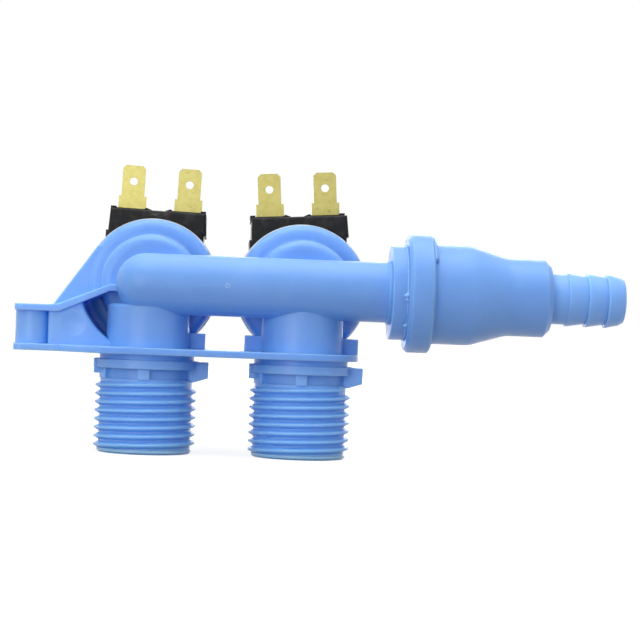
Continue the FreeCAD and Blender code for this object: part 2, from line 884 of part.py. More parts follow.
def make_outlet_adapter():
    """The welded adapter: a deep collar, a sloping shoulder, the outlet and the hose barb."""
    body = new_body("outlet_adapter")
    sketch = new_sketch(
        body, "adapter_profile", "XZ_Plane", across="flange_end", up="axis_height",
        out="tube_forward",
    )
    collar = "collar_length"
    straight = f"{collar} + adapter_length"
    neck = f"{straight} + shoulder_run"
    face = f"{neck} + outlet_run"
    barb = f"{face} + outlet_chamfer"
    bend_length = "shoulder_bend * sin(shoulder_slope)"
    bend_drop = "shoulder_bend * (1 - cos(shoulder_slope))"
    outline = [
        ("0", "collar_radius - collar_chamfer"),
        ("collar_chamfer", "collar_radius"),
        (f"{collar} - collar_back_chamfer", "collar_radius"),
        (collar, "collar_radius - collar_back_chamfer"),
        (collar, "adapter_radius"),
        (straight, "adapter_radius"),
        (f"{straight} + {bend_length}", f"adapter_radius - {bend_drop}", "cw", "shoulder_bend"),
        (f"{neck} - {bend_length}", f"outlet_radius + {bend_drop}"),
        (neck, "outlet_radius", "ccw", "shoulder_bend"),
        (face, "outlet_radius"),
        (barb, "outlet_radius - outlet_chamfer"),
        (barb, "barb_root"),
        (f"{barb} + barb_neck - barb_land", "barb_root"),
        (f"{barb} + barb_neck - barb_land", "barb_crest"),
    ]
    for ridge in range(3):
        edge = f"{barb} + barb_neck + {ridge} * barb_step"
        outline.append((edge, "barb_crest"))
        if ridge < 2:
            outline.append((f"{edge} + barb_step - barb_land", "barb_valley"))
            outline.append((f"{edge} + barb_step - barb_land", "barb_crest"))
    last = f"{barb} + barb_neck + 2 * barb_step + barb_last_step"
    outline.append((f"{last} - barb_land", "barb_tip"))
    tip = f"{last} + barb_rounding"
    pocket_end = "spigot_length + socket_gap + holder_length + 2 * fit_gap"
    outline += [
        (tip, "barb_tip - barb_rounding"),
        (tip, "barb_bore"),
        (f"{neck} + adapter_wall", "barb_bore"),
        (f"{straight} + adapter_wall", "outlet_bore"),
        (pocket_end, "outlet_bore"),
        (pocket_end, "holder_radius + fit_gap"),
        ("spigot_length + socket_gap", "holder_radius + fit_gap"),
        ("spigot_length + socket_gap", "spigot_radius + socket_gap"),
        ("0", "spigot_radius + socket_gap"),
    ]
    draw_outline(sketch, outline)
    turned(body, "adapter", sketch, axis="H_Axis")
    return body


def make_flow_pieces():
    """The rubber flow washer and the dished holder that it sits in."""
    holder = new_body("flow_washer_holder")
    sketch = new_sketch(
        holder, "holder_profile", "XZ_Plane", across="holder_start", up="axis_height",
        out="tube_forward",
    )
    draw_outline(
        sketch,
        [
            ("0", "washer_radius + fit_gap"),
            ("washer_thickness", "washer_radius + fit_gap"),
            ("holder_length - holder_lip", "holder_bore"),
            ("holder_length", "holder_bore"),
            ("holder_length", "holder_radius"),
            ("0", "holder_radius"),
        ],
    )
    turned(holder, "holder", sketch, axis="H_Axis")
    washer = new_body("flow_washer")
    sketch = new_sketch(
        washer, "washer_profile", "XZ_Plane", across="holder_start", up="axis_height",
        out="tube_forward",
    )
    draw_outline(
        sketch,
        [
            ("washer_face", "washer_hole + washer_dish"),
            ("washer_face", "washer_radius"),
            ("washer_thickness - fit_gap", "washer_radius"),
            ("washer_thickness - fit_gap", "washer_hole"),
            ("washer_face + washer_dish", "washer_hole"),
        ],
    )
    turned(washer, "washer", sketch, axis="H_Axis")


def make_inlet_screen(side, inlet_x):
    """The cup-shaped strainer whose rim sits in the mouth of the inlet."""
    body = new_body(f"{side}_inlet_screen")
    sketch = new_sketch(body, "screen_profile", "XZ_Plane")
    base = "fit_gap + mouth_depth - inlet_length"
    draw_outline(
        sketch,
        [
            ("screen_radius - screen_wall", f"{base} - screen_rim"),
            ("mouth_radius - fit_gap", f"{base} - screen_rim"),
            ("mouth_radius - fit_gap", f"{base} - 2 * fit_gap"),
            ("screen_radius", f"{base} - 2 * fit_gap"),
            ("screen_radius", f"{base} + screen_length"),
            ("screen_nose", f"{base} + screen_length + screen_nose"),
            ("0", f"{base} + screen_length + screen_nose"),
            ("0", f"{base} + screen_length + screen_nose - screen_wall"),
            ("screen_nose - screen_wall / 2", f"{base} + screen_length + screen_nose - screen_wall"),
            ("screen_radius - screen_wall", f"{base} + screen_length - screen_wall / 2"),
        ],
    )
    turned(body, "screen", sketch)
    sketch = new_sketch(body, "slot_outline", "XZ_Plane", up=base)
    draw_outline(
        sketch,
        [
            ("-slot_width / 2", "slot_inset"),
            ("slot_width / 2", "slot_inset"),
            ("slot_width / 2", "screen_length - slot_inset"),
            ("-slot_width / 2", "screen_length - slot_inset"),
        ],
    )
    slot = sunk(body, "slot", sketch, "screen_radius + overlap", back=True)
    doc.recompute()
    pattern = body.newObject("PartDesign::PolarPattern", "slots")
    pattern.Originals = [slot]
    axis = next(f for f in body.Origin.OriginFeatures if f.Role == "Z_Axis")
    pattern.Axis = (axis, [""])
    pattern.Angle = 360
    pattern.setExpression("Occurrences", linked("slot_count"))
    body.Tip = pattern
    body.setExpression("Placement.Base.x", linked(inlet_x))


def make_diaphragm(side, inlet_x):
    """The rubber diaphragm: a clamped bead, a thin membrane and a thick hub with a hole."""
    inner = "bead_radius - fit_gap - bead_width"
    low = "bead_floor + stack_gap"
    piece = turned_piece(
        f"{side}_diaphragm",
        [
            ("stem_radius + soft_gap", "hub_front"),
            ("hub_radius", "hub_front"),
            ("hub_radius", "hub_back - membrane"),
            (inner, f"{low} + bead_step"),
            (inner, low),
            ("bead_radius - fit_gap", low),
            ("bead_radius - fit_gap", "bead_back"),
            (inner, "bead_back"),
            (inner, f"{low} + bead_step + membrane"),
            ("hub_radius", "hub_back"),
            ("stem_radius + soft_gap", "hub_back"),
        ],
    )
    set_at_valve(piece, inlet_x)


def make_diaphragm_insert(side, inlet_x):
    """The hard centre of the diaphragm, with its pilot hole."""
    piece = turned_piece(
        f"{side}_diaphragm_insert",
        [
            ("pilot_bore", "hub_front - stem_length"),
            ("stem_radius", "hub_front - stem_length"),
            ("stem_radius", "insert_front"),
            ("insert_radius", "insert_front"),
            ("insert_radius", "insert_back"),
            ("nib_radius + nib_flare", "insert_back"),
            ("nib_radius", "nib_back"),
            ("pilot_bore", "nib_back"),
        ],
    )
    set_at_valve(piece, inlet_x)


def make_guide_tube(side, inlet_x):
    """The guide tube: a spigot that clamps the bead, a flange on the rim, the tube and its nose."""
    spigot = "bead_radius - fit_gap"
    piece = turned_piece(
        f"{side}_guide_tube",
        [
            ("chamber_radius", "bead_back + fit_gap"),
            (spigot, "bead_back + fit_gap"),
            (spigot, "rim_back + fit_gap"),
            ("guide_flange_radius", "rim_back + fit_gap"),
            ("guide_flange_radius", "flange_back"),
            ("guide_radius", "flange_back"),
            ("guide_radius", "frame_inner_back"),
            ("nose_radius", "frame_inner_back"),
            ("nose_radius", "frame_back + nose_length - nose_chamfer"),
            ("nose_radius - nose_chamfer", "frame_back + nose_length"),
            ("0", "frame_back + nose_length"),
            ("0", "guide_end"),
            ("guide_bore", "guide_end"),
            ("guide_bore", "flange_back - guide_roof"),
            ("chamber_radius", "flange_back - guide_roof"),
        ],
    )
    set_at_valve(piece, inlet_x)


def make_plunger(side, inlet_x):
    """The steel plunger: a pocket for the rubber tip in front, one for the spring behind."""
    pocket = "plunger_back - spring_pocket_depth"
    piece = turned_piece(
        f"{side}_plunger",
        [
            ("0", "plunger_front + tip_length - tip_proud"),
            ("tip_radius + fit_gap", "plunger_front + tip_length - tip_proud"),
            ("tip_radius + fit_gap", "plunger_front"),
            ("plunger_radius - plunger_bevel", "plunger_front"),
            ("plunger_radius", "plunger_front + plunger_bevel"),
            ("plunger_radius", "plunger_back - plunger_bevel / 2"),
            ("plunger_radius - plunger_bevel / 2", "plunger_back"),
            ("spring_pocket", "plunger_back"),
            ("spring_pocket", pocket),
            ("0", pocket),
        ],
    )
    set_at_valve(piece, inlet_x)
    tip = turned_piece(
        f"{side}_plunger_tip",
        [
            ("0", "tip_front"),
            ("tip_radius", "tip_front"),
            ("tip_radius", "tip_front + tip_length - fit_gap"),
            ("0", "tip_front + tip_length - fit_gap"),
        ],
    )
    set_at_valve(tip, inlet_x)


def make_spring(side, inlet_x):
    """The return spring, a helix of square-section wire between the plunger and the tube's end."""
    low = value("plunger_back - spring_pocket_depth + stack_gap + spring_wire / 2")
    high = value("guide_end - stack_gap - spring_wire / 2")
    radius = value("spring_radius")
    half = value("spring_wire") / 2
    helix = Part.makeHelix((high - low) / value("spring_turns"), high - low, radius)
    corners = [(-half, -half), (half, -half), (half, half), (-half, half), (-half, -half)]
    section = Part.makePolygon([Vector(radius + dx, 0, dz) for dx, dz in corners])
    wire = Part.Wire(helix.Edges)
    shape = wire.makePipeShell([section], True, True)
    spring = doc.addObject("Part::Feature", f"{side}_plunger_spring")
    spring.Label = f"{side}_plunger_spring"
    spring.Shape = shape
    spring.Placement = Placement(
        Vector(value(inlet_x), low, value("axis_height")), Rotation(Vector(1, 0, 0), -90)
    )


def make_coil_moulding(side, inlet_x, lean):
    """The black coil moulding: round below, square above, hollow for the bobbin."""
    body = new_body(f"{side}_coil_moulding")
    width = "coil_half_width"
    sketch = new_sketch(body, "coil_outline", "XZ_Plane", out="-coil_front")
    draw_outline(
        sketch,
        [
            (f"{width} - mould_shift", "coil_shoulder"),
            (f"{width} + mould_shift", "coil_shoulder"),
            (f"{width} + mould_shift - coil_draft", "coil_top"),
            (f"mould_shift + coil_draft - {width}", "coil_top"),
            (f"mould_shift - {width}", "coil_shoulder"),
            (f"-{width} - mould_shift", "coil_shoulder"),
            (f"-{width} - mould_shift", "0"),
            ("0", f"-{width}", "ccw", width),
            (f"{width} - mould_shift", "0", "ccw", width),
        ],
    )
    raised(body, "coil_block", sketch, "coil_length", back=True)

    def on_end_faces(edge):
        box = edge.BoundBox
        ends = (near(box.YMin, "coil_front"), near(box.YMin, "coil_back"))
        return box.YLength < 1e-4 and any(ends)

    rounded(body, "coil_rounding", "coil_rounding", on_end_faces)

    # One tower for each terminal, lower between its two lugs where the terminal comes out
    front = "terminal_depth + (terminal_gauge - tower_depth) / 2"
    for name, way in (("left", "-1"), ("right", "1")):
        sketch = new_sketch(body, f"{name}_tower_outline", "XZ_Plane", out=f"-({front})")
        middle = "terminal_spacing / 2"
        slot = "base_width / 2 + fit_gap"
        outline = [
            (f"{way} * tower_inner", "coil_top - overlap"),
            (f"{way} * tower_outer", "coil_top - overlap"),
            (f"{way} * tower_outer", "coil_top + tower_height"),
            (f"{way} * ({middle} + {slot})", "coil_top + tower_height"),
            (f"{way} * ({middle} + {slot})", "base_bottom"),
            (f"{way} * ({middle} - {slot})", "base_bottom"),
            (f"{way} * ({middle} - {slot} - tower_lip)", "coil_top + tower_height"),
            (f"{way} * tower_inner", "coil_top + tower_height / 2"),
        ]
        draw_outline(sketch, outline)
        raised(body, f"{name}_tower", sketch, "tower_depth", back=True)

    sketch = new_sketch(body, "hollow_profile", "XY_Plane")
    draw_outline(
        sketch,
        [
            ("0", "coil_front - overlap"),
            ("bobbin_bore", "coil_front - overlap"),
            ("bobbin_bore", "coil_front + coil_wall"),
            ("bobbin_radius + fit_gap", "coil_front + coil_wall"),
            ("bobbin_radius + fit_gap", "coil_back - coil_wall"),
            ("bobbin_bore", "coil_back - coil_wall"),
            ("bobbin_bore", "coil_back + overlap"),
            ("0", "coil_back + overlap"),
        ],
    )
    turned(body, "hollow", sketch, cut=True)

    for name, way in (("left", "-1"), ("right", "1")):
        sketch = new_sketch(body, f"{name}_slot_outline", "XY_Plane", out="base_bottom + overlap")
        middle = f"mould_shift + {way} * terminal_spacing / 2"
        low = f"{middle} - base_width / 2 - fit_gap"
        high = f"{middle} + base_width / 2 + fit_gap"
        front = "terminal_depth - fit_gap"
        back = "terminal_depth + terminal_gauge + fit_gap"
        draw_outline(sketch, [(low, front), (high, front), (high, back), (low, back)])
        sunk(body, f"{name}_terminal_slot", sketch, "terminal_root + overlap + fit_gap")
    set_at_valve(body, inlet_x, lean)


def make_terminals(side, inlet_x, lean):
    """Two brass spade terminals with a shouldered base, chamfered tip and a locking hole."""
    for name, way in (("left", "-1"), ("right", "1")):
        body = new_body(f"{side}_coil_{name}_terminal")
        sketch = new_sketch(
            body, "blade_outline", "XZ_Plane",
            across=f"mould_shift + {way} * terminal_spacing / 2", out="-terminal_depth",
        )
        base = "base_width / 2"
        blade = "blade_width / 2"
        shoulder = "base_bottom + base_height"
        draw_outline(
            sketch,
            [
                (f"-{base}", "base_bottom - terminal_root"),
                (base, "base_bottom - terminal_root"),
                (base, shoulder),
                (blade, shoulder),
                (blade, "terminal_top - blade_chamfer"),
                (f"{blade} - blade_chamfer", "terminal_top"),
                (f"blade_chamfer - {blade}", "terminal_top"),
                (f"-{blade}", "terminal_top - blade_chamfer"),
                (f"-{blade}", shoulder),
                (f"-{base}", shoulder),
            ],
        )
        draw_circle(sketch, "0", "terminal_top - hole_inset", "terminal_hole")
        raised(body, "blade", sketch, "terminal_gauge", back=True)
        set_at_valve(body, inlet_x, lean)


def make_coil_frame(side, inlet_x, lean):
    """The steel frame: a strip folded round the coil, with a hole for the guide tube at each end."""
    body = new_body(f"{side}_coil_frame")
    sketch = new_sketch(body, "strip_outline", "XY_Plane", out="-frame_half_height")
    wide = "frame_half_width"
    bend = "frame_corner"
    draw_outline(
        sketch,
        [
            (wide, f"frame_back - {bend}"),
            (f"{wide} - {bend}", "frame_back", "ccw", bend),
            (f"{bend} - {wide}", "frame_back"),
            (f"-{wide}", f"frame_back - {bend}", "ccw", bend),
            (f"-{wide}", f"frame_front + {bend}"),
            (f"{bend} - {wide}", "frame_front", "ccw", bend),
            (f"{wide} - {bend}", "frame_front"),
            (wide, f"frame_front + {bend}", "ccw", bend),
        ],
    )
    inner = "frame_half_width - frame_gauge"
    draw_outline(
        sketch,
        [
            (f"-({inner})", "frame_front + frame_gauge"),
            (inner, "frame_front + frame_gauge"),
            (inner, "frame_inner_back"),
            (f"-({inner})", "frame_inner_back"),
        ],
    )
    raised(body, "strip", sketch, "2 * frame_half_height")
    sketch = new_sketch(body, "tube_hole_outline", "XZ_Plane", out="overlap - frame_front")
    draw_circle(sketch, "0", "0", "guide_radius + stack_gap")
    sunk(body, "front_hole", sketch, "frame_gauge + 2 * overlap")
    sketch = new_sketch(body, "nose_hole_outline", "XZ_Plane", out="overlap - frame_inner_back")
    draw_circle(sketch, "0", "0", "nose_radius + stack_gap")
    sunk(body, "back_hole", sketch, "frame_gauge + 2 * overlap")
    set_at_valve(body, inlet_x, lean)


def make_coil_inner_pieces(side, inlet_x, lean):
    """The bobbin, its winding and the steel flux sleeve in the bobbin's back end."""
    core = "bobbin_bore + bobbin_wall"
    bobbin = turned_piece(
        f"{side}_bobbin",
        [
            ("bobbin_bore", "bobbin_front"),
            ("bobbin_radius", "bobbin_front"),
            ("bobbin_radius", "bobbin_front + bobbin_flange"),
            (core, "bobbin_front + bobbin_flange"),
            (core, "bobbin_back - bobbin_flange"),
            ("bobbin_radius", "bobbin_back - bobbin_flange"),
            ("bobbin_radius", "bobbin_back"),
            ("bobbin_bore", "bobbin_back"),
        ],
    )
    winding = turned_piece(
        f"{side}_winding",
        [
            (f"{core} + fit_gap", "bobbin_front + bobbin_flange + fit_gap"),
            ("winding_radius", "bobbin_front + bobbin_flange + fit_gap"),
            ("winding_radius", "bobbin_back - bobbin_flange - fit_gap"),
            (f"{core} + fit_gap", "bobbin_back - bobbin_flange - fit_gap"),
        ],
    )
    sleeve = turned_piece(
        f"{side}_flux_sleeve",
        [
            ("guide_radius + fit_gap", "frame_inner_back - fit_gap - sleeve_length"),
            ("sleeve_radius", "frame_inner_back - fit_gap - sleeve_length"),
            ("sleeve_radius", "frame_inner_back - fit_gap"),
            ("guide_radius + fit_gap", "frame_inner_back - fit_gap"),
        ],
    )
    for piece in (bobbin, winding, sleeve):
        set_at_valve(piece, inlet_x, lean)


def make_coil_clip(side, inlet_x, lean):
    """The push-on clip on the guide tube's nose: a dished ring with slots between its teeth."""
    body = turned_piece(
        f"{side}_coil_clip",
        [
            ("nose_radius + fit_gap", "frame_back + fit_gap + clip_dish"),
            ("clip_radius - clip_rim", "frame_back + fit_gap"),
            ("clip_radius", "frame_back + fit_gap"),
            ("clip_radius", "frame_back + fit_gap + clip_gauge"),
            ("clip_radius - clip_rim", "frame_back + fit_gap + clip_gauge"),
            ("nose_radius + fit_gap", "frame_back + fit_gap + clip_dish + clip_gauge"),
        ],
    )
    sketch = new_sketch(body, "gap_outline", "XZ_Plane", out="-frame_back")
    draw_outline(
        sketch,
        [
            ("-clip_slot / 2", "0"),
            ("clip_slot / 2", "0"),
            ("clip_slot / 2", "clip_radius - clip_rim"),
            ("-clip_slot / 2", "clip_radius - clip_rim"),
        ],
    )
    slot = sunk(body, "gap", sketch, "3 * clip_gauge + clip_dish")
    doc.recompute()
    pattern = body.newObject("PartDesign::PolarPattern", "gaps")
    pattern.Originals = [slot]
    axis = next(f for f in body.Origin.OriginFeatures if f.Role == "Y_Axis")
    pattern.Axis = (axis, [""])
    pattern.Angle = 360
    pattern.setExpression("Occurrences", linked("clip_teeth"))
    body.Tip = pattern
    set_at_valve(body, inlet_x, lean)


def build_all():
    make_valve_body()
    make_outlet_adapter()
    make_flow_pieces()
    for side, inlet_x, lean in VALVES:
        make_inlet_screen(side, inlet_x)
        make_diaphragm(side, inlet_x)
        make_diaphragm_insert(side, inlet_x)
        make_guide_tube(side, inlet_x)
        make_plunger(side, inlet_x)
        make_spring(side, inlet_x)
        make_coil_moulding(side, inlet_x, lean)
        make_terminals(side, inlet_x, lean)
        make_coil_frame(side, inlet_x, lean)
        make_coil_inner_pieces(side, inlet_x, lean)
        make_coil_clip(side, inlet_x, lean)


build_all()
doc.recompute()


def check_model():
    """Stops the build on a failed object, or on a cut that removed nothing."""
    for item in doc.Objects:
        if "Invalid" in item.State or "Error" in item.State:
            raise RuntimeError(f"{item.Label} failed: {item.State}")
        if item.TypeId in ("PartDesign::Pocket", "PartDesign::Groove"):
            if item.Shape.Volume > item.BaseFeature.Shape.Volume - 1e-3:
                raise RuntimeError(f"{item.Label} cut nothing")


def write_parts():
    """Writes each sub-part to a STEP file that has its name."""
    os.makedirs("parts", exist_ok=True)
    kinds = ("PartDesign::Body", "Part::Feature", "Part::Cut", "Part::Fuse")
    for item in doc.Objects:
        if item.TypeId not in kinds or item.getParentGeoFeatureGroup():
            continue
        if item.Shape.isNull() or not item.Shape.isValid():
            raise RuntimeError(f"{item.Label} has no valid shape")
        item.Shape.exportStep(f"parts/{item.Label}.step")


check_model()
write_parts()
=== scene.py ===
import json
import math

import bpy
from mathutils import Matrix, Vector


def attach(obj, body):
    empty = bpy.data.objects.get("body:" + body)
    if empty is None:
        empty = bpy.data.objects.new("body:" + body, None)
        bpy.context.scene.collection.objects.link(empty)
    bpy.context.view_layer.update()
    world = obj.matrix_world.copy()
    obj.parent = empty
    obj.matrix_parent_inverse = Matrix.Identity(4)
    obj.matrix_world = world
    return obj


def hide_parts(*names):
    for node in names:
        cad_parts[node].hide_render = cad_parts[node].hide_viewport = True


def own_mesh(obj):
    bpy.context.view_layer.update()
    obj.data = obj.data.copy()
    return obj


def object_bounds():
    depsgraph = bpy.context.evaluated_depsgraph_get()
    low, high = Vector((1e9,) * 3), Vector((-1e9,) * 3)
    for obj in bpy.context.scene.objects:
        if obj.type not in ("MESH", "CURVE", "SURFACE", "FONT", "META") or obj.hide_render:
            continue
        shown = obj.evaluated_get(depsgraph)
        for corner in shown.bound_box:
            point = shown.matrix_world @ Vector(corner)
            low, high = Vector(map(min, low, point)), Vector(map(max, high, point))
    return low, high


# The washing machine inlet valve, with its finishes, a pale floor and soft studio light.
# The frame is in metres: X along the mixing tube, Y back along the solenoids, Z up.

MM = 0.001

# Camera, fitted to the photo: its place in metres, its angles in degrees, its lens in millimetres
CAMERA_PLACE = (19.2 * MM, -503.5 * MM, 9.3 * MM)
CAMERA_TURN = 2.93
CAMERA_TILT = 0.15
CAMERA_ROLL = 2.19
CAMERA_LENS = 107.7

# Finishes and painted light, as linear colours
BLUE = (0.150, 0.350, 0.76)
BLUE_LIGHT = (0.170, 0.375, 0.79)
# Painted glow: a lighter, more saturated blue laid into crevices and under ledges in place of bounced
# and scattered light
BLUE_CREVICE_GLOW = (0.150, 0.490, 1.0)
# Painted glow on the inlets, the screw tab and the hose barb, in place of light passing through them
BLUE_THIN_GLOW = (0.205, 0.430, 0.86)
# Painted glow on the band at the inlets' mouths, in place of light coming in through the open ends
BLUE_MOUTH_GLOW = (0.450, 0.680, 0.97)
# Painted shade in tight corners, seams and the windows' floors
BLUE_SEAM_SHADE = (0.070, 0.240, 0.66)
FLASH = (0.200, 0.410, 0.83)
FLASH_LIGHT = (0.260, 0.480, 0.88)
# Painted highlight along sharp edges
BLUE_EDGE_HIGHLIGHT = (0.340, 0.530, 0.84)
BLACK = (0.011, 0.011, 0.012)
BLACK_WORN = (0.030, 0.029, 0.031)
BLACK_VALLEY_PATCH = (0.130, 0.115, 0.110)
BRASS = (0.50, 0.455, 0.165)
BRASS_DULL = (0.44, 0.39, 0.125)
BRASS_EDGE = (0.30, 0.25, 0.07)
BRASS_STAIN = (0.22, 0.15, 0.05)
STEEL = (0.50, 0.51, 0.52)
STEEL_DULL = (0.40, 0.41, 0.42)
NYLON = (0.74, 0.75, 0.72)
NYLON_AGED = (0.66, 0.65, 0.58)
RUBBER = (0.020, 0.020, 0.021)
RUBBER_DUSTY = (0.050, 0.049, 0.047)
COPPER = (0.62, 0.23, 0.10)
# Painted shade in the grooves between turns
COPPER_GROOVE_SHADE = (0.36, 0.11, 0.05)
FLOOR_PALE = (0.30, 0.30, 0.30)
FLOOR_GREY = (0.28, 0.28, 0.28)

# Where painted glow comes in, a lighter blue that stands in for light through thin walls and into the
# inlets' mouths: the axis, the place where the glow is full and the place where it starts
INLET_GLOW = ("Z", -5 * MM, 0)
TAB_GLOW = ("X", -17 * MM, -10 * MM)
BARB_GLOW = ("X", 107 * MM, 103 * MM)
MOUTH_GLOW = ("Z", -24.6 * MM, -23.9 * MM)

# The windows in the inlets' bands, whose floors get painted shade: their axes, the radii of floor and
# band, their upper and lower ends, and the share of painted shade
INLET_AXES = (0, 40.4 * MM)
WINDOW_FLOOR = 11.5 * MM
WINDOW_BAND = 11.9 * MM
WINDOW_ENDS = (("Z", -3.8 * MM, -3.6 * MM), ("Z", -6.5 * MM, -6.7 * MM))
WINDOW_SHADE = 0.45

# A lighter streaked patch between the humps of the left coil moulding
VALLEY_PATCH_PLACE = (1.3 * MM, 18 * MM, 37.4 * MM)
VALLEY_PATCH_REACH = 3.4 * MM

# Copper wire, and the bands that a wave texture lays in one unit at scale 1
WIRE_PITCH = 0.35 * MM
WAVE_BANDS = 20

# The mixing tube's axis and face, in millimetres as all small marks below
TUBE_Y = -5.5
TUBE_Z = 18.4
TUBE_FACE = 7.85

# Weld flash: the corner of flange and collar, the bead's mean size, its waves as depth, count and
# start, and its drops as turn in degrees, rise and width in degrees
WELD_X = 66.5
WELD_RADIUS = 12.22
WELD_SIZE = 0.20
WELD_WAVES = ((0.05, 5, 1), (0.03, 13, 0), (0.025, 29, 2))
WELD_DROPS = (
    (-3.8, 0.62, 2.4),
    (-8.8, 0.46, 1.7),
    (-42.6, 0.46, 1.9),
    (24.0, 0.20, 2.6),
    (71.0, 0.20, 3.0),
    (118.0, 0.30, 2.0),
    (163.0, 0.24, 2.6),
    (-128.0, 0.32, 1.8),
)
WELD_STEPS = 360
WELD_CORNERS = 10

# Collar lip: where it starts, the collar's back face, its radii, and its stretches as middle and
# half width in degrees and reach
LIP_START = 73.0
COLLAR_BACK = 73.1
LIP_INNER = 12.6
LIP_STEP = 13.1
LIP_OUTER = 15.0
LIP_LOW = 13.7
LIP_LOW_FROM = 230
LIP_LOW_TO = 310
LIP_ROUNDING = 0.55
LIP_STRETCHES = ((107.0, 71.0, 0.95), (-92.0, 20.0, 0.75))
LIP_DEGREES = 2

# Gate mark: its place along the tube, and its rings as radius and height over the tube's face
GATE_X = 20.3
GATE_RINGS = ((0.80, -0.10), (0.66, 0.05), (0.50, 0.13), (0.38, 0.10), (0.26, -0.02))
GATE_SIDES = 24

# Softboxes: name, place, width in metres and power in watts
SOFTBOXES = (
    ("top_light", (0.0, -0.05, 0.55), 0.60, 2.1),
    ("front_fill", (-0.35, -0.75, 0.08), 0.50, 2.8),
    ("back_light", (0.10, 0.80, 0.12), 0.60, 3.2),
)
STUDIO_LOW = 0.55
STUDIO_HIGH = 1.05
FLOOR_WIDTH = 12
FLOOR_GLOW = 0.80


class Finish:
    """A procedural material, built from a few noise, bevel and bump nodes."""

    def __init__(self, name):
        self.material = bpy.data.materials.new(name)
        self.material.use_nodes = True
        self.tree = self.material.node_tree
        self.shader = self.tree.nodes["Principled BSDF"]
        self.place = self.add("ShaderNodeTexCoord").outputs["Object"]

    def add(self, kind, **settings):
        node = self.tree.nodes.new(kind)
        for name, setting in settings.items():
            setattr(node, name, setting)
        return node

    def join(self, source, target):
        self.tree.links.new(source, target)

    def noise(self, size, detail=4.0, stretch=(1, 1, 1)):
        """Noise whose blotches are about size metres wide, stretched along the axes."""
        mapping = self.add("ShaderNodeMapping")
        mapping.inputs["Scale"].default_value = [1 / (size * s) for s in stretch]
        texture = self.add("ShaderNodeTexNoise")
        texture.inputs["Scale"].default_value = 1.0
        texture.inputs["Detail"].default_value = detail
        self.join(self.place, mapping.inputs["Vector"])
        self.join(mapping.outputs["Vector"], texture.inputs["Vector"])
        return texture.outputs["Fac"]

    def ranged(self, source, low, high, start=0.35, end=0.65):
        """The source from start to end, mapped to low to high."""
        node = self.add("ShaderNodeMapRange")
        node.inputs["From Min"].default_value = start
        node.inputs["From Max"].default_value = end
        node.inputs["To Min"].default_value = low
        node.inputs["To Max"].default_value = high
        self.join(source, node.inputs["Value"])
        return node.outputs["Result"]

    def blend(self, share, first, second):
        """Two colours, or links to colours, mixed by share."""
        node = self.add("ShaderNodeMix", data_type="RGBA")
        self.join(share, node.inputs["Factor"])
        for slot, colour in (("A", first), ("B", second)):
            target = next(s for s in node.inputs if s.name == slot and s.type == "RGBA")
            if isinstance(colour, tuple):
                target.default_value = (*colour, 1)
            else:
                self.join(colour, target)
        return next(s for s in node.outputs if s.type == "RGBA")

    def paint(self, colour):
        self.join(colour, self.shader.inputs["Base Color"])

    def roughen(self, source, low, high):
        self.join(self.ranged(source, low, high), self.shader.inputs["Roughness"])

    def bump(self, edge_radius, *layers):
        """Softened edges, with a bump for each (height source, depth in metres) on top."""
        bevel = self.add("ShaderNodeBevel", samples=6)
        bevel.inputs["Radius"].default_value = edge_radius
        normal = bevel.outputs["Normal"]
        for height, depth in layers:
            node = self.add("ShaderNodeBump")
            node.inputs["Distance"].default_value = depth
            self.join(height, node.inputs["Height"])
            self.join(normal, node.inputs["Normal"])
            normal = node.outputs["Normal"]
        self.join(normal, self.shader.inputs["Normal"])

    def crevices(self, reach):
        """1 on open faces, lower in corners and under ledges."""
        node = self.add("ShaderNodeAmbientOcclusion", samples=6)
        node.inputs["Distance"].default_value = reach
        return node.outputs["AO"]

    def edges(self, reach):
        """1 on flat faces, lower within reach of a sharp edge."""
        soft = self.add("ShaderNodeBevel", samples=6)
        soft.inputs["Radius"].default_value = reach
        flat = self.add("ShaderNodeNewGeometry")
        match = self.add("ShaderNodeVectorMath", operation="DOT_PRODUCT")
        self.join(soft.outputs["Normal"], match.inputs[0])
        self.join(flat.outputs["Normal"], match.inputs[1])
        return match.outputs["Value"]

    def along(self, axis, full, none):
        """A share that runs from 1 to 0 between two places on an axis."""
        axes = self.add("ShaderNodeSeparateXYZ")
        self.join(self.place, axes.inputs["Vector"])
        span = self.add("ShaderNodeMapRange")
        span.inputs["From Min"].default_value = none
        span.inputs["From Max"].default_value = full
        self.join(axes.outputs[axis], span.inputs["Value"])
        return span.outputs["Result"]

    def near(self, point, reach):
        """1 close to a point, falling to 0 at reach from it."""
        away = self.add("ShaderNodeVectorMath", operation="DISTANCE")
        away.inputs[1].default_value = point
        self.join(self.place, away.inputs[0])
        return self.ranged(away.outputs["Value"], 1, 0, start=0.3 * reach, end=reach)

    def most(self, *shares):
        """The highest of some shares."""
        highest = shares[0]
        for share in shares[1:]:
            node = self.add("ShaderNodeMath", operation="MAXIMUM")
            self.join(highest, node.inputs[0])
            self.join(share, node.inputs[1])
            highest = node.outputs["Value"]
        return highest

    def windows(self):
        """A share of painted shade for the floors of the windows in the inlets' bands, 0 elsewhere."""
        floors = []
        for x in INLET_AXES:
            level = self.add("ShaderNodeVectorMath", operation="MULTIPLY")
            level.inputs[1].default_value = (1, 1, 0)
            self.join(self.place, level.inputs[0])
            away = self.add("ShaderNodeVectorMath", operation="DISTANCE")
            away.inputs[1].default_value = (x, 0, 0)
            self.join(level.outputs["Vector"], away.inputs[0])
            distance = away.outputs["Value"]
            floors.append(self.ranged(distance, WINDOW_SHADE, 0, start=WINDOW_FLOOR, end=WINDOW_BAND))
        floor = self.most(*floors)
        for end in WINDOW_ENDS:
            both = self.add("ShaderNodeMath", operation="MULTIPLY")
            self.join(floor, both.inputs[0])
            self.join(self.along(*end), both.inputs[1])
            floor = both.outputs["Value"]
        return floor

    def painted_glow_zones(self):
        """1 on the inlets, the screw tab and the hose barb, where a lighter blue is painted in place
        of light passing through.
        """
        return self.most(*[self.along(*tint) for tint in (INLET_GLOW, TAB_GLOW, BARB_GLOW)])


